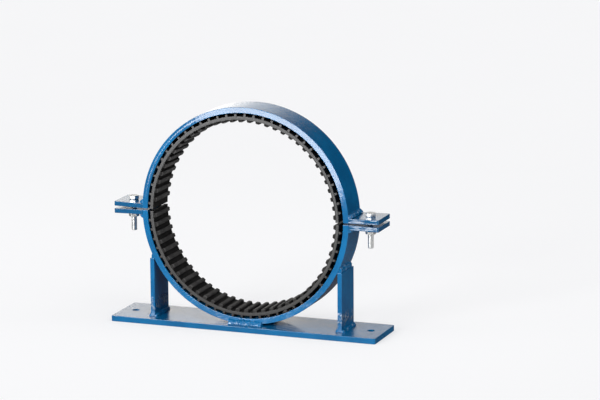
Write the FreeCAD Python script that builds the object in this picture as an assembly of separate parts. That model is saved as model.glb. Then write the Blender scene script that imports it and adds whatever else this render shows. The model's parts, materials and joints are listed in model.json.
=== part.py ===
import FreeCAD, Part
import math
import os

# A two-piece pipe clamp with a ribbed rubber liner, welded to a flat base plate on two legs.
# Millimetres. +X runs along the base plate, +Y along the pipe, +Z up.
# The origin is the middle of the base plate's underside.

# Driving dimensions
pipe_diameter = 325.0
band_thickness = 10.0
band_width = 60.0
liner_width = 64.0
inner_rib_height = 5.0
web_thickness = 5.5
outer_rib_height = 5.4
glue_gap = 0.1
split_gap = 3.0
bar_thickness = 8.0
plate_length = 485.0
plate_width = 100.0
plate_thickness = 10.0
hole_spacing = 435.0
anchor_hole_diameter = 13.0
ear_reach = 53.5
ear_tilt = 1.0
leg_outer_x = 176.0
edge_round = 0.7
corner_round = 3.0

# Liner ribs: the inner and outer ones are staggered by half a pitch
ribs_per_turn = 66
inner_rib_width = 7.8
inner_rib_corner = 1.5
outer_rib_width = 4.4
outer_rib_corner = 1.4
strip_end_margin = 0.6
strip_joint_margin = 0.2
upper_joint_angle = 40.0
lower_joint_angle = 316.5

# Metric fastener sizes, M10
thread_diameter = 10.0
bolt_length = 55.0
hex_width = 16.0
head_height = 6.4
nut_height = 8.4
nut_running_gap = 0.05
washer_diameter = 20.0
washer_hole_diameter = 10.5
washer_thickness = 2.0
ear_hole_diameter = 11.0
thread_chamfer = 1.0
hex_chamfer_angle = 30.0
hex_chamfer_start = 0.96

# Weld beads
ear_bead = 7.0
foot_bead = 6.0
leg_top_bead = 9.0
band_bead = 8.5
band_bead_length = 64.0
bead_root = 2.0
bead_bulge = 1.2
bead_inset = 1.0

# Worked out from the above
pipe_radius = pipe_diameter / 2
web_inner = pipe_radius + inner_rib_height
web_outer = web_inner + web_thickness
liner_outer = web_outer + outer_rib_height
band_inner = liner_outer + glue_gap
band_outer = band_inner + band_thickness
ring_height = plate_thickness + band_outer
half_gap = split_gap / 2
rib_pitch = 360.0 / ribs_per_turn
bolt_x = hole_spacing / 2
leg_inner_x = leg_outer_x - bar_thickness
leg_top = ring_height - math.sqrt(band_outer ** 2 - leg_inner_x ** 2)
hex_corner = hex_width / math.sqrt(3)
tilt_rise = math.tan(math.radians(ear_tilt))
ear_slope_height = bar_thickness / math.cos(math.radians(ear_tilt))
head_seat = half_gap + ear_slope_height + (bolt_x + hex_corner - band_outer) * tilt_rise
washer_seat = half_gap + ear_slope_height + (bolt_x + washer_diameter / 2 - band_outer) * tilt_rise

ALONG_PIPE = FreeCAD.Vector(0, 1, 0)
UP = FreeCAD.Vector(0, 0, 1)
RING_CENTRE = FreeCAD.Vector(0, 0, ring_height)


def save(name, shape):
    shape.exportStep("parts/" + name + ".step")


def mirrored_left(shape):
    return shape.mirror(FreeCAD.Vector(0, 0, 0), FreeCAD.Vector(1, 0, 0))


def mirrored_down(shape):
    """The same shape on the other side of the plane where the two halves meet."""
    return shape.mirror(RING_CENTRE, UP)


def disc(radius, width):
    """A solid cylinder on the pipe axis, centred on the band's width."""
    return Part.makeCylinder(radius, width, FreeCAD.Vector(0, -width / 2, ring_height), ALONG_PIPE)


def upright_cylinder(radius, x, low, high):
    return Part.makeCylinder(radius, high - low, FreeCAD.Vector(x, 0, low), UP)


def bar(low_x, high_x, width, low_z, high_z):
    """A rectangular bar centred on Y = 0."""
    corner = FreeCAD.Vector(low_x, -width / 2, low_z)
    return Part.makeBox(high_x - low_x, width, high_z - low_z, corner)


def upright_edges(shape, x):
    """The vertical edges that lie at one X."""
    found = []
    for edge in shape.Edges:
        ends = [vertex.Point for vertex in edge.Vertexes]
        same_x = all(abs(point.x - x) < 1e-6 for point in ends)
        upright = abs(ends[0].z - ends[1].z) > edge.Length / 2
        if same_x and upright:
            found.append(edge)
    return found


def softened(shape):
    """Every edge slightly rounded, as a coat of paint leaves it."""
    return shape.makeFillet(edge_round, shape.Edges)


def base_plate():
    plate = bar(-plate_length / 2, plate_length / 2, plate_width, 0, plate_thickness)
    corners = upright_edges(plate, -plate_length / 2) + upright_edges(plate, plate_length / 2)
    plate = softened(plate.makeFillet(corner_round, corners))
    for x in (-hole_spacing / 2, hole_spacing / 2):
        plate = plate.cut(upright_cylinder(anchor_hole_diameter / 2, x, 0, plate_thickness))
    return plate


def right_leg():
    return softened(bar(leg_inner_x, leg_outer_x, band_width, plate_thickness, leg_top))


def upper_band():
    ring = disc(band_outer, band_width).cut(disc(band_inner, band_width))
    above = bar(-band_outer, band_outer, band_width, ring_height + half_gap, ring_height + band_outer)
    return softened(ring.common(above))


def upper_right_ear():
    """A flat ear, shaped to the band at its root and leaning slightly away from the split."""
    low = ring_height + half_gap
    ear = bar(band_outer - bar_thickness, band_outer + ear_reach, band_width, low, low + bar_thickness)
    ear = ear.makeFillet(corner_round, upright_edges(ear, band_outer + ear_reach))
    ear = softened(ear)
    ear.rotate(FreeCAD.Vector(band_outer, 0, low), ALONG_PIPE, -ear_tilt)
    ear = ear.cut(disc(band_outer, plate_width))
    return ear.cut(upright_cylinder(ear_hole_diameter / 2, bolt_x, low, low + 2 * bar_thickness))


def bead_section(foot, toe, root):
    """A weld bead's section: a face that bulges from foot to toe, away from its root."""
    middle = (foot + toe) * 0.5
    chord = (toe - foot).normalize()
    away = middle - root
    outward = (away - chord * away.dot(chord)).normalize()
    edges = [
        Part.Arc(foot, middle + outward * bead_bulge, toe).toShape(),
        Part.makeLine(toe, root),
        Part.makeLine(root, foot),
    ]
    return Part.Face(Part.Wire(edges))


def bead_along_pipe(foot, toe, root, length):
    """A straight bead along Y. Its section's points are (x, z)."""
    points = [FreeCAD.Vector(x, -length / 2, z) for x, z in (foot, toe, root)]
    return bead_section(*points).extrude(ALONG_PIPE * length)


def upper_right_ear_weld(ear):
    top = ring_height + half_gap + bar_thickness
    bead = bead_along_pipe(
        (band_outer + ear_bead, top - bead_root / 2),
        (band_outer - bead_root, top + ear_bead),
        (band_outer - bead_root, top - bead_root / 2),
        band_width - 2 * bead_inset,
    )
    return bead.cut(ear).cut(disc(band_outer, plate_width))


def right_leg_top_weld(leg):
    """The fat bead in the wedge between the leg's top face and the band."""
    above = leg_top + leg_top_bead
    band_x = math.sqrt(band_outer ** 2 - (ring_height - above) ** 2)
    bead = bead_along_pipe(
        (leg_outer_x - bead_inset, leg_top - bead_root / 2),
        (band_x, above),
        (leg_inner_x - bead_root, leg_top - bead_root / 2),
        band_width - 2 * bead_inset,
    )
    return bead.cut(leg).cut(disc(band_outer, plate_width))


def right_leg_foot_weld(leg):
    """Two beads, along the leg's outer and inner faces."""
    middle = (leg_inner_x + leg_outer_x) / 2
    beads = []
    for side in (-1, 1):
        face = middle + side * bar_thickness / 2
        bead = bead_along_pipe(
            (face + side * foot_bead, plate_thickness),
            (face, plate_thickness + foot_bead),
            (face - side * bead_root, plate_thickness),
            band_width - 2 * bead_inset,
        )
        beads.append(bead.cut(leg))
    return Part.makeCompound(beads)


def front_band_weld(band):
    """The bead along the bottom of the band's front face, run into the wedge under the curve."""
    face = -band_width / 2
    start = -band_bead_length / 2
    foot = FreeCAD.Vector(start, face - band_bead, plate_thickness)
    toe = FreeCAD.Vector(start, face, plate_thickness + band_bead)
    root = FreeCAD.Vector(start, face + bead_root, plate_thickness)
    bead = bead_section(foot, toe, root).extrude(FreeCAD.Vector(band_bead_length, 0, 0))
    return bead.cut(band)


def around_axis(radius, degrees):
    """A point on the liner's front face, at a radius and angle about the pipe axis."""
    angle = math.radians(degrees)
    return FreeCAD.Vector(
        radius * math.cos(angle), -liner_width / 2, ring_height + radius * math.sin(angle)
    )


def arc_around_axis(radius, start, end):
    return Part.Arc(
        around_axis(radius, start), around_axis(radius, (start + end) / 2), around_axis(radius, end)
    ).toShape()


def rib_edges(angle, half_width, corner, foot, tip):
    """One rib's outline from flank to flank, with rounded corners and a land on the tip radius."""
    inward = 1 if tip < foot else -1
    centre_radius = tip + inward * corner
    centre_height = math.sqrt(centre_radius ** 2 - (half_width - corner) ** 2)
    foot_height = math.sqrt(foot ** 2 - half_width ** 2)
    land = math.degrees(math.asin((half_width - corner) / centre_radius))
    middle_angle = math.radians(angle)

    def local(across, height):
        """A point in the rib's own frame: across it, and along its middle line."""
        return FreeCAD.Vector(
            height * math.cos(middle_angle) - across * math.sin(middle_angle),
            -liner_width / 2,
            ring_height + height * math.sin(middle_angle) + across * math.cos(middle_angle),
        )

    edges = [arc_around_axis(tip, angle - land, angle + land)]
    for side in (-1, 1):
        centre = local(side * (half_width - corner), centre_height)
        flank = local(side * half_width, centre_height)
        land_end = around_axis(tip, angle + side * land)
        between = (flank - centre).normalize() + (land_end - centre).normalize()
        rounding = centre + between.normalize() * corner
        edges.append(Part.Arc(flank, rounding, land_end).toShape())
        edges.append(Part.makeLine(local(side * half_width, foot_height), flank))
    return edges


def ribbed_side(start, end, first, width, corner, foot, tip):
    """One side of a strip: the web's face, broken by every rib that fits between its ends."""
    half_width = width / 2
    foot_angle = math.degrees(math.asin(half_width / foot))
    edges = []
    reached = start
    angle = first
    while angle + foot_angle < end:
        edges.append(arc_around_axis(foot, reached, angle - foot_angle))
        edges += rib_edges(angle, half_width, corner, foot, tip)
        reached = angle + foot_angle
        angle += rib_pitch
    edges.append(arc_around_axis(foot, reached, end))
    return edges


def liner_strip(start, end):
    """A strip of ribbed rubber between two angles, measured from +X towards +Z."""
    inner = ribbed_side(
        start, end, start + rib_pitch / 2, inner_rib_width, inner_rib_corner, web_inner, pipe_radius
    )
    outer = ribbed_side(
        start, end, start + rib_pitch, outer_rib_width, outer_rib_corner, web_outer, liner_outer
    )
    ends = [
        Part.makeLine(around_axis(web_inner, angle), around_axis(web_outer, angle))
        for angle in (start, end)
    ]
    outline = Part.Wire(Part.sortEdges(inner + outer + ends)[0])
    return Part.Face(outline).extrude(ALONG_PIPE * liner_width)


def hexagon(x, low, high):
    """A hexagonal prism with a flat towards the front."""
    corners = [
        FreeCAD.Vector(
            x + hex_corner * math.cos(math.radians(60 * n)),
            hex_corner * math.sin(math.radians(60 * n)),
            low,
        )
        for n in range(7)
    ]
    return Part.Face(Part.makePolygon(corners)).extrude(UP * (high - low))


def chamfer_cone(x, low, high, top_side):
    """A cone that trims a hexagon's corners at its top or bottom face."""
    small = hex_width / 2 * hex_chamfer_start
    large = small + (high - low) / math.tan(math.radians(hex_chamfer_angle))
    radii = (large, small) if top_side else (small, large)
    return Part.makeCone(*radii, high - low, FreeCAD.Vector(x, 0, low), UP)


def bolt(x):
    under_head = ring_height + head_seat
    head = hexagon(x, under_head, under_head + head_height)
    head = head.common(chamfer_cone(x, under_head, under_head + head_height, True))
    tip = under_head - bolt_length
    radius = thread_diameter / 2
    shank = upright_cylinder(radius, x, tip + thread_chamfer, under_head)
    point = Part.makeCone(radius - thread_chamfer, radius, thread_chamfer, FreeCAD.Vector(x, 0, tip), UP)
    return head.fuse([shank, point]).removeSplitter()


def washer(x):
    top = ring_height - washer_seat
    blank = upright_cylinder(washer_diameter / 2, x, top - washer_thickness, top)
    return blank.cut(upright_cylinder(washer_hole_diameter / 2, x, top - washer_thickness, top))


def nut(x):
    top = ring_height - washer_seat - washer_thickness
    low = top - nut_height
    body = hexagon(x, low, top)
    body = body.common(chamfer_cone(x, low, top, True)).common(chamfer_cone(x, low, top, False))
    return body.cut(upright_cylinder(thread_diameter / 2 + nut_running_gap, x, low, top))


def main():
    os.makedirs("parts", exist_ok=True)
    save("base_plate", base_plate())

    band = upper_band()
    save("upper_band", band)
    save("lower_band", mirrored_down(band))

    ear = upper_right_ear()
    ear_weld = upper_right_ear_weld(ear)
    leg = right_leg()
    right_side = {
        "upper_right_ear": ear,
        "upper_right_ear_weld": ear_weld,
        "lower_right_ear": mirrored_down(ear),
        "lower_right_ear_weld": mirrored_down(ear_weld),
        "right_leg": leg,
        "right_leg_top_weld": right_leg_top_weld(leg),
        "right_leg_foot_weld": right_leg_foot_weld(leg),
    }
    for name, shape in right_side.items():
        save(name, shape)
        save(name.replace("right", "left"), mirrored_left(shape))

    band_weld = front_band_weld(mirrored_down(band))
    save("front_band_weld", band_weld)
    save("back_band_weld", band_weld.mirror(FreeCAD.Vector(0, 0, 0), ALONG_PIPE))

    save("upper_liner_short", liner_strip(strip_end_margin, upper_joint_angle - strip_joint_margin))
    save("upper_liner_long", liner_strip(upper_joint_angle + strip_joint_margin, 180 - strip_end_margin))
    save("lower_liner_long", liner_strip(180 + strip_end_margin, lower_joint_angle - strip_joint_margin))
    save("lower_liner_short", liner_strip(lower_joint_angle + strip_joint_margin, 360 - strip_end_margin))

    for side, x in (("left", -bolt_x), ("right", bolt_x)):
        save(side + "_bolt", bolt(x))
        save(side + "_washer", washer(x))
        save(side + "_nut", nut(x))


main()
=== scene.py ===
import json
import math

import bmesh
import bpy
from mathutils import Matrix, Vector, noise


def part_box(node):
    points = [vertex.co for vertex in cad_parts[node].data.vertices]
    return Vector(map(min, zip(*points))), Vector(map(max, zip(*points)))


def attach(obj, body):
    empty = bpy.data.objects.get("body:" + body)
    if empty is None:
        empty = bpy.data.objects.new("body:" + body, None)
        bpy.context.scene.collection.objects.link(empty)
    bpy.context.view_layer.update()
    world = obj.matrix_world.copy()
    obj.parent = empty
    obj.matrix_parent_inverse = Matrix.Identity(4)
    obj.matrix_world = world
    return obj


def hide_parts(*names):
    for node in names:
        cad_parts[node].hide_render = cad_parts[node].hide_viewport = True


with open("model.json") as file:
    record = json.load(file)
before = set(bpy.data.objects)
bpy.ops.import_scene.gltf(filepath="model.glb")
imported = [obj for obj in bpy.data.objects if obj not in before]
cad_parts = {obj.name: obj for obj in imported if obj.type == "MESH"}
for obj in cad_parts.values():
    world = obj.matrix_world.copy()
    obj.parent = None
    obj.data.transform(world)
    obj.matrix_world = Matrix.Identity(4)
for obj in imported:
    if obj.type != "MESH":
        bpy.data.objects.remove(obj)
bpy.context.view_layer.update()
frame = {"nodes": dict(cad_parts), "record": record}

# Sizes are in metres. The clamp's own come from the frame.
mm = 0.001
mounts = {mount["name"]: mount for mount in frame["record"]["mounts"]}
ring_height = mounts["pipe_bore"]["pos_m"][2]
pipe_radius = mounts["pipe_bore"]["dims"]["r_mm"] * mm
liner_width = mounts["pipe_bore"]["dims"]["length_mm"] * mm
band_low, band_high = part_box("upper_band")
band_outer = band_high.z - ring_height
band_width = band_high.y - band_low.y
plate_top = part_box("base_plate")[1].z


# ---------------------------------------------------------------- shader nodes

class Nodes:
    """Short calls that build a node tree. A value or another node's socket can feed any input."""

    def __init__(self, tree):
        self.tree = tree
        tree.nodes.clear()

    def add(self, kind, inputs=None, **settings):
        node = self.tree.nodes.new(kind)
        for name, value in settings.items():
            setattr(node, name, value)
        for name, value in (inputs or {}).items():
            self.feed(node, name, value)
        return node

    def feed(self, node, name, value):
        if isinstance(value, bpy.types.NodeSocket):
            self.tree.links.new(value, node.inputs[name])
        else:
            node.inputs[name].default_value = value

    def math(self, operation, a, b=0.0, c=0.0):
        return self.add("ShaderNodeMath", {0: a, 1: b, 2: c}, operation=operation).outputs[0]

    def ramp(self, value, low, high, to_low=0.0, to_high=1.0):
        """A smooth step from to_low to to_high as value goes from low to high."""
        inputs = {"Value": value, "From Min": low, "From Max": high, "To Min": to_low, "To Max": to_high}
        return self.add("ShaderNodeMapRange", inputs, interpolation_type="SMOOTHSTEP").outputs["Result"]

    def window(self, value, low, high, soft):
        """1 between low and high and 0 outside, with soft edges."""
        rise = self.ramp(value, low - soft, low + soft)
        fall = self.ramp(value, high - soft, high + soft, 1.0, 0.0)
        return self.math("MULTIPLY", rise, fall)

    def noise(self, vector, scale, detail=2.0, roughness=0.5):
        inputs = {"Vector": vector, "Scale": scale, "Detail": detail, "Roughness": roughness}
        return self.add("ShaderNodeTexNoise", inputs).outputs["Fac"]

    def mix_colour(self, share, a, b):
        return self.add("ShaderNodeMix", {0: share, 6: a, 7: b}, data_type="RGBA").outputs[2]

    def vector(self, operation, a, b=(0, 0, 0)):
        return self.add("ShaderNodeVectorMath", {0: a, 1: b}, operation=operation).outputs[0]

    def parts(self, vector):
        return self.add("ShaderNodeSeparateXYZ", {"Vector": vector}).outputs

    def joined(self, x=0.0, y=0.0, z=0.0):
        return self.add("ShaderNodeCombineXYZ", {0: x, 1: y, 2: z}).outputs[0]

    def bump(self, height, distance, normal=None):
        inputs = {"Height": height, "Distance": distance, "Strength": 1.0}
        if normal is not None:
            inputs["Normal"] = normal
        return self.add("ShaderNodeBump", inputs).outputs[0]

    def place(self):
        return self.add("ShaderNodeTexCoord").outputs["Object"]

    def normal(self):
        return self.add("ShaderNodeNewGeometry").outputs["Normal"]

    def facing_along_pipe(self):
        """1 on faces square to the pipe axis, such as the front and back edges of a bar."""
        return self.ramp(self.math("ABSOLUTE", self.parts(self.normal())[1]), 0.75, 0.95)

    def polar(self, place):
        """(angle, radius) about the pipe axis."""
        x, _, z = self.parts(place)
        height = self.math("SUBTRACT", z, ring_height)
        angle = self.math("ARCTAN2", height, x)
        square = self.math("MULTIPLY_ADD", x, x, self.math("MULTIPLY", height, height))
        return angle, self.math("SQRT", square)


def new_material(name):
    material = bpy.data.materials.new(name)
    material.use_nodes = True
    return material, Nodes(material.node_tree)


def finish_material(n, settings):
    skin = n.add("ShaderNodeBsdfPrincipled", settings)
    n.add("ShaderNodeOutputMaterial", {"Surface": skin.outputs[0]})


# ---------------------------------------------------------------- blue enamel

enamel_shades = ((0.0006, 0.108, 0.293), (0.0014, 0.146, 0.375))
# Pale grey painted onto the legs' paint runs: a painted highlight for their glints.
painted_glint_grey = (0.42, 0.48, 0.55, 1)


def leaning(n, amount):
    """The surface normal, leaning up a little on the edge faces, which no rolled bar has quite square."""
    up = n.joined(z=n.math("MULTIPLY", amount, n.facing_along_pipe()))
    return n.vector("NORMALIZE", n.vector("ADD", n.normal(), up))


def enamel(name, streak, lean, peel_depth=0.30 * mm, tone=1.0, runs_and_glints=None, dulling=None):
    """Gloss enamel put on with a brush.

    streak(n, place) squeezes space along the brush marks, lean(n, place) says how far edge faces
    lean, and dulling(n, place) is extra roughness. The mask of paint runs, a function of (n, place),
    says where the paint runs heavy: there it bumps the surface and is painted pale, a painted
    highlight for the glints on those runs. The paint lies smoother on edge faces.
    """
    material, n = new_material(name)
    place = n.place()
    streaked = streak(n, place)
    textured = n.math("MULTIPLY_ADD", n.facing_along_pipe(), -0.8, 1.0)
    broad = n.noise(place, 22.0, detail=3.0)
    brush = n.noise(streaked, 420.0, detail=3.0, roughness=0.6)
    peel = n.noise(place, 360.0, detail=1.5)
    fine = n.noise(place, 900.0, detail=2.0)

    mottle = n.math("MULTIPLY_ADD", broad, 0.65, n.math("MULTIPLY", brush, 0.35))
    # A tone below 1 makes a darker copy of the same enamel: painted shade.
    deep, pale = ([tone * level for level in shade] + [1] for shade in enamel_shades)
    colour = n.mix_colour(n.ramp(mottle, 0.35, 0.68), deep, pale)
    dull = dulling(n, place) if dulling else 0.0
    gloss = n.math("ADD", n.math("MULTIPLY_ADD", n.ramp(fine, 0.35, 0.75), 0.08, 0.12), dull)

    shaped = n.bump(n.math("MULTIPLY", brush, textured), 0.18 * mm, leaning(n, lean(n, place)))
    peel = n.math("MULTIPLY_ADD", fine, 0.25, peel)
    shaped = n.bump(n.math("MULTIPLY", peel, textured), peel_depth, shaped)
    if runs_and_glints:
        runs = runs_and_glints(n, place)
        # Painted highlight: where the paint runs, the colour goes pale grey for their glints. The bump is
        # the runs' own shape.
        colour = n.mix_colour(n.math("MULTIPLY", runs, 0.6), colour, painted_glint_grey)
        shaped = n.bump(runs, 1.2 * mm, shaped)
    finish_material(n, {
        "Base Color": colour, "Roughness": gloss, "IOR": 1.5, "Normal": shaped,
        "Specular IOR Level": n.math("MULTIPLY_ADD", dull, -1.6, 0.5),
        "Coat Weight": n.math("MULTIPLY_ADD", dull, -1.6, 0.35),
        "Coat Roughness": 0.06, "Coat IOR": 1.5,
    })
    return material


def brushed_along(scale):
    """Brush marks along one axis, the one with the small scale."""
    return lambda n, place: n.vector("MULTIPLY", place, scale)


def brushed_round(n, place):
    """Brush marks that follow the band round the pipe."""
    angle, radius = n.polar(place)
    around = n.math("MULTIPLY", angle, band_outer * 0.12)
    return n.joined(around, n.parts(place)[1], radius)


def band_lean(n, place):
    """The band's edge leans up in two stretches and along a line at its left.

    Brush strokes cross it on a slant.
    """
    angle, radius = n.polar(place)
    stretches = (
        # middle, cosine of the angle from it at the stretch's end and where it is full, lean
        (66, 0.35, 0.85, 0.19),
        (270, 0.20, 0.90, 0.100),
    )
    line_middle = math.radians(145)
    left = n.math("COSINE", n.math("SUBTRACT", angle, line_middle))
    line = n.window(radius, band_outer - 6.4 * mm, band_outer - 4.0 * mm, 0.6 * mm)
    lean = n.math("MULTIPLY_ADD", n.ramp(left, 0.80, 0.95), n.math("MULTIPLY", line, 0.105), -0.18)
    for middle, end, full, amount in stretches:
        nearness = n.math("COSINE", n.math("SUBTRACT", angle, math.radians(middle)))
        lean = n.math("ADD", lean, n.ramp(nearness, end, full, 0.0, amount))
    slant = n.math("MULTIPLY_ADD", angle, band_outer, n.math("MULTIPLY", radius, 0.7))
    slanted = n.joined(slant, 0.0, n.math("MULTIPLY", radius, 0.35))
    strokes = n.noise(slanted, 330.0, detail=1.5, roughness=0.6)
    patches = n.noise(place, 90.0, detail=1.5)
    uneven = n.math("MULTIPLY_ADD", strokes, 0.6, n.math("MULTIPLY", patches, 0.4))
    return n.math("MULTIPLY_ADD", uneven, 0.26, lean)


def ear_lean(n, place):
    """The right ears' edges are wavy where the paint ran heavy; the left ones are flat."""
    right = n.ramp(n.parts(place)[0], 0.0, 50 * mm)
    waves = n.noise(n.vector("MULTIPLY", place, (0.20, 1.0, 1.6)), 230.0, detail=4.0, roughness=0.6)
    wavy = n.ramp(waves, 0.42, 0.58, 0.0, 0.20)
    return n.math("MULTIPLY_ADD", right, wavy, -0.05)


def bar_lean(n, place):
    return n.math("MULTIPLY_ADD", n.noise(place, 60.0), 0.06, -0.05)


def leg_runs_and_glints(n, place):
    """Heavy paint runs above the weld at the leg's foot, in slanting strokes. They bump the paint and are
    painted pale there, a painted highlight for their glints.
    """
    x, y, z = n.parts(place)
    height = n.math("SUBTRACT", z, plate_top)
    near_foot = n.window(height, 12 * mm, 30 * mm, 6 * mm)
    down = n.math("MULTIPLY", n.math("SUBTRACT", z, y), 0.35)
    strokes = n.noise(n.joined(x, n.math("ADD", y, z), down), 260.0, detail=2.0, roughness=0.55)
    patchy = n.ramp(n.noise(place, 55.0), 0.34, 0.50)
    return n.math("MULTIPLY", n.ramp(strokes, 0.40, 0.62), n.math("MULTIPLY", near_foot, patchy))


def plate_dulling(n, place):
    """The right half of the plate is a little duller."""
    return n.ramp(n.parts(place)[0], 20 * mm, 120 * mm, 0.0, 0.10)


# ---------------------------------------------------------------- rubber and zinc

def rubber():
    """Dull moulded rubber.

    The cut ends of the web and the outer ribs are grey. Lower down they are darker, with traces of
    glue. The inner ribs' tops get a painted sheen, paler than the gaps between them, which get a
    near-black painted shade; higher up the painted sheen is paler still.
    """
    material, n = new_material("black_rubber")
    place = n.place()
    _, radius = n.polar(place)
    end_face = n.facing_along_pipe()
    cut_through = n.ramp(radius, web_inner - 0.5 * mm, web_inner - 0.2 * mm)
    bloom = n.noise(place, 60.0, detail=4.0, roughness=0.6)
    grain = n.noise(place, 1300.0, detail=3.0, roughness=0.6)
    flow = n.noise(n.vector("MULTIPLY", place, (1.0, 0.06, 1.0)), 500.0, detail=3.0)
    clouded = n.ramp(bloom, 0.35, 0.7)
    # Painted shade: the gaps between the inner ribs are near black, darker than the rubber.
    painted_gap_shade = n.mix_colour(clouded, (0.005, 0.005, 0.006, 1), (0.014, 0.014, 0.015, 1))
    # Painted sheen: the inner ribs' tops are paler, standing in for the sheen of light on them.
    painted_rib_sheen = n.mix_colour(clouded, (0.045, 0.045, 0.048, 1), (0.082, 0.082, 0.086, 1))
    painted_upper_sheen = n.mix_colour(clouded, (0.100, 0.102, 0.108, 1), (0.165, 0.167, 0.175, 1))
    height = n.parts(place)[2]
    # Painted sheen: higher up, the rib tops are paler still.
    painted_rib_sheen = n.mix_colour(n.ramp(height, ring_height, ring_height + web_inner * 0.8), painted_rib_sheen, painted_upper_sheen)
    rib_top = n.ramp(radius, web_inner - 3.8 * mm, web_inner - 1.4 * mm, 1.0, 0.0)
    skin = n.mix_colour(n.math("MULTIPLY", rib_top, n.math("SUBTRACT", 1.0, end_face)), painted_gap_shade, painted_rib_sheen)
    cut = n.mix_colour(n.ramp(grain, 0.3, 0.7), (0.080, 0.083, 0.090, 1), (0.134, 0.138, 0.147, 1))
    # The cut ends get darker towards the bottom, and glue shows only there.
    lower_down = n.ramp(height, ring_height - web_outer, ring_height + web_outer, 0.72, 0.0)
    cut = n.mix_colour(lower_down, cut, (0.022, 0.022, 0.022, 1))
    colour = n.mix_colour(n.math("MULTIPLY", end_face, cut_through), skin, cut)
    outside = n.ramp(radius, web_outer + 3.2 * mm, web_outer + 4.6 * mm)
    glued = n.math("MULTIPLY", n.math("MULTIPLY", outside, lower_down), n.ramp(bloom, 0.48, 0.58))
    colour = n.mix_colour(glued, colour, (0.22, 0.13, 0.07, 1))
    shaped = n.bump(grain, 0.08 * mm, n.bump(flow, 0.12 * mm))
    dull = n.math("MULTIPLY_ADD", bloom, 0.25, 0.50)
    finish_material(n, {
        "Base Color": colour, "Roughness": dull, "IOR": 1.52, "Specular IOR Level": 0.25, "Normal": shaped,
    })
    return material


def zinc():
    """Bright zinc plating with a soft cloudy bloom and fine turning marks."""
    material, n = new_material("zinc_plated_steel")
    place = n.place()
    cloud = n.noise(place, 220.0, detail=3.0, roughness=0.6)
    grain = n.noise(place, 2600.0, detail=2.0)
    turned = n.noise(n.vector("MULTIPLY", place, (1.0, 1.0, 6.0)), 900.0, detail=2.0)
    colour = n.mix_colour(n.ramp(cloud, 0.35, 0.7), (0.72, 0.74, 0.76, 1), (0.93, 0.95, 0.97, 1))
    gloss = n.math("MULTIPLY_ADD", cloud, 0.14, 0.32)
    shaped = n.bump(grain, 0.03 * mm, n.bump(turned, 0.05 * mm))
    finish_material(n, {"Base Color": colour, "Metallic": 1.0, "Roughness": gloss, "Normal": shaped})
    return material


# ---------------------------------------------------------------- meshes

def build(name, geometry, material, body, node, smooth_angle):
    """A finished piece that stands for a CAD node: shaded smooth up to an angle, and riding on its body."""
    vertices, faces = geometry
    mesh = bpy.data.meshes.new(name)
    mesh.from_pydata(vertices, [], faces)
    shell = bmesh.new()
    shell.from_mesh(mesh)
    bmesh.ops.recalc_face_normals(shell, faces=shell.faces)
    shell.to_mesh(mesh)
    shell.free()
    mesh.materials.append(material)
    mesh.shade_smooth()
    mesh.set_sharp_from_angle(angle=math.radians(smooth_angle))
    piece = bpy.data.objects.new(name, mesh)
    bpy.context.scene.collection.objects.link(piece)
    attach(piece, body)
    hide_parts(node)


def together(*geometries):
    """One (vertices, faces) from several."""
    vertices, faces = [], []
    for part_vertices, part_faces in geometries:
        start = len(vertices)
        vertices += part_vertices
        faces += [tuple(start + i for i in face) for face in part_faces]
    return vertices, faces


def skin_over(rings, looped=False):
    """The skin over rings of equal length: capped at both ends, or joined from last ring to first."""
    count = len(rings[0])
    vertices = [point for ring in rings for point in ring]
    pairs = list(zip(range(len(rings) - 1), range(1, len(rings))))
    if looped:
        pairs.append((len(rings) - 1, 0))
    faces = []
    for low, high in pairs:
        for i in range(count):
            j = (i + 1) % count
            faces.append((low * count + i, low * count + j, high * count + j, high * count + i))
    if not looped:
        faces.append(tuple(reversed(range(count))))
        faces.append(tuple((len(rings) - 1) * count + i for i in range(count)))
    return vertices, faces


def wobble(seed, position):
    """A smooth random number between about -1 and 1."""
    return noise.noise(Vector((position, seed * 7.31, 0.37)))


# ---------------------------------------------------------------- ribbed rubber liner

ribs_per_turn = 66
rib_pitch = 2 * math.pi / ribs_per_turn
inner_rib = {"height": 5.0 * mm, "half_width": 3.8 * mm, "corner": 1.9 * mm, "root": 0.8 * mm}
outer_rib = {"height": 5.4 * mm, "half_width": 2.1 * mm, "corner": 1.2 * mm, "root": 0.7 * mm}
root_steps = 3
shoulder_steps = 5
rib_draft = 0.12 * mm
rib_clearance = 0.3 * mm
rib_shift = 0.12 * mm
rib_unevenness = 0.04
rib_set_back = 1.2 * mm
rib_end_round = 2.4 * mm
web_inner = pipe_radius + inner_rib["height"]
web_thickness = 5.5 * mm
web_outer = web_inner + web_thickness
cut_round = 0.35 * mm
cut_trim = 0.3 * mm
cut_unevenness = 0.25 * mm
slack_depth = 1.9 * mm
slack_middle = math.radians(15)
joint_reach = math.radians(0.17)
split_sine = 0.05


def rib_outline(rib):
    """A rib as (across, height) points, with a hollow root and a rounded shoulder on each side."""
    half = []
    for step in range(root_steps + 1):
        turn = math.pi / 2 * step / root_steps
        foot = rib["half_width"] + rib["root"] * (1 - math.sin(turn))
        half.append((-foot, rib["root"] * (1 - math.cos(turn))))
    shoulder = rib["half_width"] - rib_draft - rib["corner"]
    for step in range(shoulder_steps + 1):
        turn = math.pi / 2 * step / shoulder_steps
        rise = rib["height"] - rib["corner"] * (1 - math.sin(turn))
        half.append((-shoulder - rib["corner"] * math.cos(turn), rise))
    return half + [(-across, height) for across, height in reversed(half)]


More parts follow.
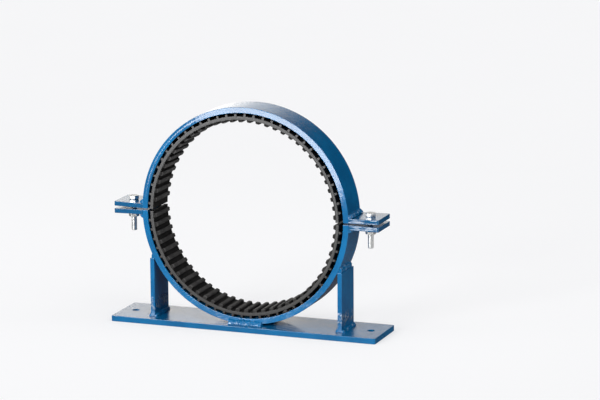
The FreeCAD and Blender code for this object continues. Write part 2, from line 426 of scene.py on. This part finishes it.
def strip_side(rib, foot_radius, first, start, end, seed):
    """(angle, height above the web) along one side of a strip.

    Each rib is a little off its place and width.
    """
    outline = rib_outline(rib)
    room = (rib["half_width"] + rib["root"] + rib_clearance) / foot_radius
    points = [(start, 0.0)]
    angle = first
    number = 0
    while angle + room < end:
        wider = 1 + rib_unevenness * wobble(seed, number * 1.7)
        shift = rib_shift * wobble(seed + 3, number * 2.3)
        for across, height in outline:
            points.append((angle + (across * wider + shift) / foot_radius, height * min(1.0, wider)))
        angle += rib_pitch
        number += 1
    points.append((end, 0.0))
    return points


def heights_at(points, angles):
    """A side's height at each of the angles, which rise, by straight lines between its points."""
    heights = []
    low = 0
    for angle in angles:
        while low + 2 < len(points) and points[low + 1][0] < angle:
            low += 1
        (a, height_a), (b, height_b) = points[low], points[low + 1]
        share = min(1.0, max(0.0, (angle - a) / max(b - a, 1e-9)))
        heights.append(height_a + (height_b - height_a) * share)
    return heights


def rib_rise(inset):
    """How much of its height a rib has, at a distance in from the strip's cut end."""
    along = min(1.0, max(0.0, (inset - rib_set_back) / rib_end_round))
    return math.sqrt(1 - (1 - along) ** 2)


def slack(angle):
    """How far a strip stands in from the band. Only on the right is it not pressed home."""
    return slack_depth * max(0.0, math.cos(angle - slack_middle)) ** 3


def strip_insets():
    """Places across the strip as (side, distance in from that side's end), from front to back."""
    near_end = [0.0, 0.12, 0.35, 1.19, 1.23, 1.5, 2.0, 2.7, 3.6, 8.0, 16.0, 24.0]
    front = [(-1, inset * mm) for inset in near_end]
    back = [(1, inset * mm) for inset in reversed(near_end)]
    return front + [(-1, liner_width / 2)] + back


def liner_strip(start, end, seed):
    """One strip of ribbed rubber. Its web runs the full width. Its ribs stop short, with rounded ends."""
    inside = strip_side(inner_rib, web_inner, start + rib_pitch / 2, start, end, seed)
    outside = strip_side(outer_rib, web_outer, start + rib_pitch, start, end, seed + 11)
    angles = sorted({round(angle, 6) for angle, _ in inside + outside})
    insets = strip_insets()
    rings = []
    for angle, inner, outer in zip(angles, heights_at(inside, angles), heights_at(outside, angles)):
        front_trim = cut_unevenness * wobble(seed + 5, angle * 9)
        back_trim = cut_unevenness * wobble(seed + 8, angle * 9)
        ring = []
        for layer, height in ((0, inner), (1, outer)):
            for side, inset in insets if layer == 0 else reversed(insets):
                trim = front_trim if side < 0 else back_trim
                y = side * (liner_width / 2 - cut_trim - inset) + trim * (1 - inset / (liner_width / 2))
                from_flat = max(0.0, cut_round - inset)
                rounding = cut_round - math.sqrt(max(0.0, cut_round ** 2 - from_flat ** 2))
                raised = height * rib_rise(inset) - rounding
                radius = (web_inner - raised if layer == 0 else web_outer + raised) - slack(angle)
                ring.append((radius * math.cos(angle), y, ring_height + radius * math.sin(angle)))
        rings.append(ring)
    return skin_over(rings)


def strip_angles(node):
    """Where a strip starts and ends.

    At the split it ends as its CAD solid does. Elsewhere it reaches further, up to the next strip.
    """
    points = [vertex.co for vertex in frame["nodes"][node].data.vertices]
    angles = [math.atan2(point.z - ring_height, point.x) % (2 * math.pi) for point in points]
    ends = min(angles), max(angles)
    reaches = [0 if abs(math.sin(angle)) < split_sine else joint_reach for angle in ends]
    return ends[0] - reaches[0], ends[1] + reaches[1]


# ---------------------------------------------------------------- welds

bead_step = 0.55 * mm
bead_points = 9
bead_dome = 3.2 * mm
bead_bulge = 1.4 * mm
bulge_swing = 1.0 * mm
scale_height = 0.45 * mm
scale_lag = 5.0 * mm
scale_wander = 1.3 * mm
lump_height = 0.55 * mm
fine_ripple = 3.4 * mm
broad_ripple = 4.0 * mm
coarse_ripple = 4.4 * mm
band_bead_length = 63 * mm


def weld_bead(length, section, place, seed, ripple):
    """A bead laid by hand, in overlapping scales of uneven size.

    section is its (foot, toe, root) as 2-D points. place(along, point) puts a point of the
    section, at a distance along the bead, into the frame.
    """
    foot, toe, root = (Vector(point) for point in section)
    outward = (foot.lerp(toe, 0.5) - root).normalized()
    steps = int(length / bead_step)
    rings = []
    for step in range(steps + 1):
        along = (step / steps - 0.5) * length
        millimetres = along / mm
        from_end = min(step, steps - step) / steps * length
        dome = math.sqrt(1 - (1 - min(1.0, from_end / bead_dome)) ** 2)
        size = 0.90 + 0.24 * wobble(seed, millimetres * 0.14) + 0.10 * wobble(seed + 4, millimetres * 0.5)
        size *= 0.45 + 0.55 * dome
        ring = []
        for k in range(bead_points):
            across = k / (bead_points - 1)
            arch = math.sin(math.pi * across)
            lag = (across - 0.5) ** 2 * scale_lag
            wander = scale_wander * wobble(seed + 6, millimetres * 0.3)
            phase = (along + lag + wander) / ripple % 1.0
            scales = scale_height * (phase - 0.4)
            bulge = bead_bulge + bulge_swing * wobble(seed + 1, millimetres * 0.22)
            lump = lump_height * noise.noise(Vector((millimetres * 0.5, across * 3, seed)))
            point = root + (foot.lerp(toe, across) - root) * size
            point += outward * ((bulge + scales) * arch + lump) * dome
            ring.append(place(along, point))
        ring.append(place(along, root))
        rings.append(ring)
    return skin_over(rings)


# ---------------------------------------------------------------- fasteners

turn_steps = 96
hex_flats = 16.0 * mm
chamfer_start = hex_flats / 2 * 0.93
chamfer_slope = math.tan(math.radians(30))
thread_radius = 5.0 * mm
thread_pitch = 1.5 * mm
thread_depth = 0.80 * mm
head_height = 6.4 * mm
head_dish = 0.15 * mm
washer_hole = 5.25 * mm
washer_radius = 10.0 * mm
edge_break = 0.12 * mm
centre_hole = 0.2 * mm


def hex_side(turn):
    """The distance from the axis to a hexagon's side, as a function of the angle."""
    sector = math.pi / 3
    return lambda angle: hex_flats / 2 / math.cos((angle - turn + sector / 2) % sector - sector / 2)


def ring_round(x, radius, z):
    """A ring of points about an upright axis. The radius and height may be functions of the angle."""
    points = []
    for step in range(turn_steps):
        angle = 2 * math.pi * step / turn_steps
        r = radius(angle) if callable(radius) else radius
        height = z(angle) if callable(z) else z
        points.append((x + r * math.cos(angle), r * math.sin(angle), height))
    return points


def hex_rim(x, side, z, up):
    """Rings from a hexagon's flat face out over its chamfer to its side. up is 1 for a top face."""
    def chamfer(drop):
        return lambda angle: z - up * (drop + (side(angle) - chamfer_start) * chamfer_slope)

    return [
        ring_round(x, chamfer_start - 0.2 * mm, z),
        ring_round(x, chamfer_start, z - up * 0.06 * mm),
        ring_round(x, lambda angle: side(angle) - edge_break, chamfer(0.02 * mm)),
        ring_round(x, side, chamfer(0.22 * mm)),
    ]


def threaded_rings(x, low, high):
    """A helical thread with rounded crests, that runs out under the head and is chamfered at its tip."""
    rows = int((high - low) / thread_pitch * 8)
    rings = []
    for row in range(1, rows + 1):
        z = high - (high - low) * row / rows
        run_out = min(1.0, (high - z) / (2.0 * mm))
        limit = thread_radius - max(0.0, 1.0 * mm - (z - low))

        def threaded(angle):
            phase = (z / thread_pitch + angle / (2 * math.pi)) % 1.0
            groove = min(1.0, max(0.0, (0.5 - 0.5 * math.cos(2 * math.pi * phase)) * 1.35 - 0.12))
            return min(limit, thread_radius - thread_depth * groove * run_out)

        rings.append(ring_round(x, threaded, z))
    return rings


def bolt(x, low, top, turn):
    """A hexagon bolt: a slightly dished head with a washer face, on a real thread."""
    seat = top - head_height
    side = hex_side(turn)
    rings = [
        ring_round(x, centre_hole, top - head_dish),
        ring_round(x, 5.2 * mm, top - head_dish),
        ring_round(x, 6.0 * mm, top),
    ]
    rings += hex_rim(x, side, top, 1)
    rings += [
        ring_round(x, side, seat + 0.55 * mm),
        ring_round(x, lambda angle: side(angle) - edge_break, seat + 0.35 * mm),
        ring_round(x, 7.7 * mm, seat + 0.35 * mm),
        ring_round(x, 7.6 * mm, seat),
        ring_round(x, thread_radius, seat),
    ]
    rings += threaded_rings(x, low, seat)
    rings.append(ring_round(x, centre_hole, low))
    return skin_over(rings)


def nut(x, low, top, turn):
    """A hexagon nut, chamfered on both faces, with a countersunk bore."""
    side = hex_side(turn)
    bore = thread_radius + 0.05 * mm
    countersink = bore + 0.6 * mm
    rings = [ring_round(x, bore, top - 0.9 * mm), ring_round(x, countersink, top)]
    rings += hex_rim(x, side, top, 1)
    rings += reversed(hex_rim(x, side, low, -1))
    rings += [ring_round(x, countersink, low), ring_round(x, bore, low + 0.9 * mm)]
    return skin_over(rings, looped=True)


def washer(x, low, top):
    """A punched washer: soft on its upper edge, sharp below."""
    soft = 0.35 * mm
    outer = washer_radius
    rings = [
        ring_round(x, washer_hole, top - soft),
        ring_round(x, washer_hole + soft, top),
        ring_round(x, outer - soft, top),
        ring_round(x, outer - soft * 0.3, top - soft * 0.3),
        ring_round(x, outer, top - soft),
        ring_round(x, outer, low + soft * 0.3),
        ring_round(x, outer - soft * 0.3, low),
        ring_round(x, washer_hole + soft * 0.3, low),
        ring_round(x, washer_hole, low + soft * 0.3),
    ]
    return skin_over(rings, looped=True)


# ---------------------------------------------------------------- the clamp

band_enamel = enamel("enamel_band", brushed_round, band_lean, peel_depth=0.55 * mm)
# Painted shade: the plate's lower tone makes a darker copy of the same enamel.
plate_enamel = enamel("enamel_plate", brushed_along((0.14, 1, 1)), bar_lean, peel_depth=0.60 * mm,
                      tone=0.85, dulling=plate_dulling)
leg_enamel = enamel("enamel_leg", brushed_along((1, 1, 0.14)), bar_lean, runs_and_glints=leg_runs_and_glints)
# Painted shade: the ears' lower tone makes a darker copy of the same enamel.
ear_enamel = enamel("enamel_ear", brushed_along((0.3, 1, 1)), ear_lean, tone=0.70)
weld_enamel = enamel("enamel_weld", brushed_along((1, 1, 1)), bar_lean, peel_depth=0.90 * mm)
black_rubber = rubber()
zinc_plating = zinc()


def paint_bars():
    """The CAD bars keep their shape and get their enamel."""
    coats = {"_plate": plate_enamel, "_leg": leg_enamel, "_band": band_enamel, "_ear": ear_enamel}
    for node, bar in frame["nodes"].items():
        for ending, coat in coats.items():
            if node.endswith(ending):
                bar.data.materials.clear()
                bar.data.materials.append(coat)


def line_with_rubber():
    for number, half in enumerate(("upper", "lower")):
        body = "upper_half" if half == "upper" else "base"
        for length in ("long", "short"):
            node = half + "_liner_" + length
            strip = liner_strip(*strip_angles(node), seed=number * 17 + len(length))
            build(node + "_rubber", strip, black_rubber, body, node, 35)


def lay_bead(node, body, geometry):
    build(node + "_bead", geometry, weld_enamel, body, node, 60)


def weld_ear(half, side, sign):
    """The bead in the corner between an ear and its band half."""
    node = half + "_" + side + "_ear_weld"
    low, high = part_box(node)
    up, body = (1, "upper_half") if half == "upper" else (-1, "base")
    ear_face = (low.z if up > 0 else high.z) + up * 1.0 * mm
    foot = (band_outer + 6.6 * mm, 0)
    toe = (band_outer - 0.4 * mm, 6.8 * mm)
    root = (band_outer - 1.5 * mm, -1.0 * mm)

    def at_ear(along, point):
        return sign * point.x, along, ear_face + up * point.y

    seed = 21 + sign * 2 + up
    lay_bead(node, body, weld_bead(band_width - 1 * mm, (foot, toe, root), at_ear, seed, fine_ripple))


def weld_leg(side, sign):
    """The fat bead between a leg's top and the band, and the two beads along its foot."""
    leg_low, leg_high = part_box(side + "_leg")
    inner_x, outer_x = sorted((abs(leg_low.x), abs(leg_high.x)))
    rise = 10 * mm
    band_x = math.sqrt(band_outer ** 2 - (ring_height - leg_high.z - rise) ** 2)
    foot = (outer_x - 0.5 * mm, 0)
    toe = (band_x, rise)
    root = (inner_x - 1.0 * mm, -1.0 * mm)

    def at_leg_top(along, point):
        return sign * point.x, along, leg_high.z + point.y

    bead = weld_bead(band_width - 2 * mm, (foot, toe, root), at_leg_top, 41 + sign * 3, broad_ripple)
    lay_bead(side + "_leg_top_weld", "base", bead)

    section = ((5.6 * mm, 0), (-0.3 * mm, 6 * mm), (-1.2 * mm, -0.8 * mm))
    beads = []
    for face_x, out in ((inner_x, -1), (outer_x, 1)):
        def at_foot(along, point):
            return sign * (face_x + out * point.x), along, plate_top + point.y

        seed = 61 + sign * 3 + out
        beads.append(weld_bead(band_width - 1 * mm, section, at_foot, seed, fine_ripple))
    lay_bead(side + "_leg_foot_weld", "base", together(*beads))


def weld_band(side, out):
    """The bead along the bottom of the band's front or back edge."""
    section = ((8.2 * mm, 0), (-0.3 * mm, 8.8 * mm), (-1.6 * mm, -0.8 * mm))

    def at_band(along, point):
        return along, out * (band_width / 2 + point.x), plate_top + point.y

    bead = weld_bead(band_bead_length, section, at_band, 80 + out, coarse_ripple)
    lay_bead(side + "_band_weld", "base", bead)


def bolt_together(side, head_turn, nut_turn):
    low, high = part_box(side + "_bolt")
    x = (low.x + high.x) / 2
    fasteners = {
        "bolt": bolt(x, low.z, high.z, head_turn),
        "nut": nut(x, *(corner.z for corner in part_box(side + "_nut")), nut_turn),
        "washer": washer(x, *(corner.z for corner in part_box(side + "_washer"))),
    }
    for kind, geometry in fasteners.items():
        node = side + "_" + kind
        build(node + "_plated", geometry, zinc_plating, node, node, 30)


# ---------------------------------------------------------------- floor, light and camera

camera_azimuth = math.radians(20.84)
camera_elevation = math.radians(12.09)
camera_roll = math.radians(-0.40)
camera_distance = 5.041
camera_lens = 178.4
camera_target = Vector((0.0904, 0.0, 0.2277))
floor_half = 30.0
contact_reach = 0.22
unlit_level = 0.015


def set_floor():
    """A plain pale floor with a painted soft contact shadow, and a painted fall-off of light towards the
    right and the back. Only the camera sees it, so it lights nothing.
    """
    material, n = new_material("pale_floor")
    place = n.place()
    tone = n.mix_colour(n.noise(place, 3.0), (0.86, 0.88, 0.93, 1), (0.89, 0.91, 0.96, 1))
    matt = n.add("ShaderNodeBsdfDiffuse", {"Color": tone}).outputs[0]
    x, y, _ = n.parts(place)
    # Painted contact shadow: the glow dims where the clamp is near.
    openness = n.add("ShaderNodeAmbientOcclusion", {"Distance": contact_reach}).outputs["AO"]
    strength = n.ramp(openness, 0.45, 1.0, 0.95, 1.10)
    # Painted fall-off of light: the glow dims towards the right and the back.
    strength = n.math("MULTIPLY", strength, n.ramp(x, 0.1, 2.0, 1.0, 0.90))
    strength = n.math("MULTIPLY", strength, n.ramp(y, 0.1, 1.5, 1.0, 0.965))
    glow = n.add("ShaderNodeEmission", {"Color": (0.98, 0.984, 1.0, 1), "Strength": strength}).outputs[0]
    mixed = n.add("ShaderNodeMixShader", {0: 0.66, 1: matt, 2: glow}).outputs[0]
    n.add("ShaderNodeOutputMaterial", {"Surface": mixed})
    corners = [(x * floor_half, y * floor_half, 0) for x, y in ((-1, -1), (1, -1), (1, 1), (-1, 1))]
    mesh = bpy.data.meshes.new("floor")
    mesh.from_pydata(corners, [], [(0, 1, 2, 3)])
    mesh.materials.append(material)
    floor = bpy.data.objects.new("floor", mesh)
    bpy.context.scene.collection.objects.link(floor)
    floor.visible_glossy = False
    floor.visible_diffuse = False
    floor.visible_shadow = False


def set_light():
    """A pale backdrop behind, a bright soft box in front, a weaker one to the right and dim fill.

    Each light is a window in the sky, from one azimuth to another and between two elevations, in
    degrees. The camera sees a plain pale backdrop instead.
    """
    world = bpy.data.worlds.new("studio")
    bpy.context.scene.world = world
    world.use_nodes = True
    n = Nodes(world.node_tree)
    x, y, z = n.parts(n.add("ShaderNodeTexCoord").outputs["Generated"])
    to_degrees = 180 / math.pi
    elevation = n.math("MULTIPLY", n.math("ARCSINE", z), to_degrees)
    from_back = n.math("MULTIPLY", n.math("ARCTAN2", x, y), to_degrees)
    from_front = n.math("MULTIPLY", n.math("ARCTAN2", x, n.math("MULTIPLY", y, -1.0)), to_degrees)
    view = -math.degrees(camera_azimuth)
    lights = (
        # strength, azimuth measured from back or front, its low, high and softness,
        # and the elevation's low, high and softness
        (1.25, from_back, view - 40, view + 15, 6, -12, 21, 4),
        (0.65, from_back, view - 40, view - 2, 3, -12, 17, 4),
        (0.08, from_back, -180, 180, 1, -90, -13, 3),
        (14.0, from_front, view - 14, view + 14, 3, -4, 28, 3),
        (1.0, from_front, view - 55, view - 12, 8, 12, 60, 8),
        (0.55, from_front, -120, 60, 20, -85, -32, 6),
        (0.18, from_front, -120, 60, 20, -32, -8, 4),
        (1.35, from_front, 70, 115, 12, -65, -2, 6),
        (0.20, from_front, -180, 180, 1, 55, 90, 10),
        (2.6, from_front, 30, 115, 10, 25, 60, 6),
    )
    level = unlit_level
    for strength, azimuth, left, right, soft, bottom, top, fade in lights:
        across = n.window(azimuth, left, right, soft)
        window = n.math("MULTIPLY", across, n.window(elevation, bottom, top, fade))
        level = n.math("MULTIPLY_ADD", window, strength, level)
    studio = n.add("ShaderNodeBackground", {"Color": (1.0, 0.975, 0.93, 1), "Strength": level}).outputs[0]
    seen = n.add("ShaderNodeBackground", {"Color": (0.95, 0.955, 0.965, 1), "Strength": 1.0}).outputs[0]
    camera_ray = n.add("ShaderNodeLightPath").outputs["Is Camera Ray"]
    mixed = n.add("ShaderNodeMixShader", {0: camera_ray, 1: studio, 2: seen}).outputs[0]
    n.add("ShaderNodeOutputWorld", {"Surface": mixed})


def set_camera():
    back = Vector((
        math.sin(camera_azimuth) * math.cos(camera_elevation),
        -math.cos(camera_azimuth) * math.cos(camera_elevation),
        math.sin(camera_elevation),
    ))
    data = bpy.data.cameras.new("camera")
    data.sensor_width = 36.0
    data.lens = camera_lens
    data.clip_end = 100.0
    camera = bpy.data.objects.new("camera", data)
    bpy.context.scene.collection.objects.link(camera)
    camera.location = camera_target + back * camera_distance
    turn = (-back).to_track_quat("-Z", "Y").to_matrix() @ Matrix.Rotation(camera_roll, 3, "Z")
    camera.rotation_mode = "QUATERNION"
    camera.rotation_quaternion = turn.to_quaternion()
    bpy.context.scene.camera = camera


paint_bars()
line_with_rubber()
for side, sign in (("left", -1), ("right", 1)):
    weld_ear("upper", side, sign)
    weld_ear("lower", side, sign)
    weld_leg(side, sign)
weld_band("front", -1)
weld_band("back", 1)
bolt_together("left", head_turn=math.radians(34.7), nut_turn=math.radians(50))
bolt_together("right", head_turn=math.radians(22), nut_turn=math.radians(46))

set_floor()
set_light()
set_camera()
bpy.context.scene.view_settings.view_transform = "Standard"
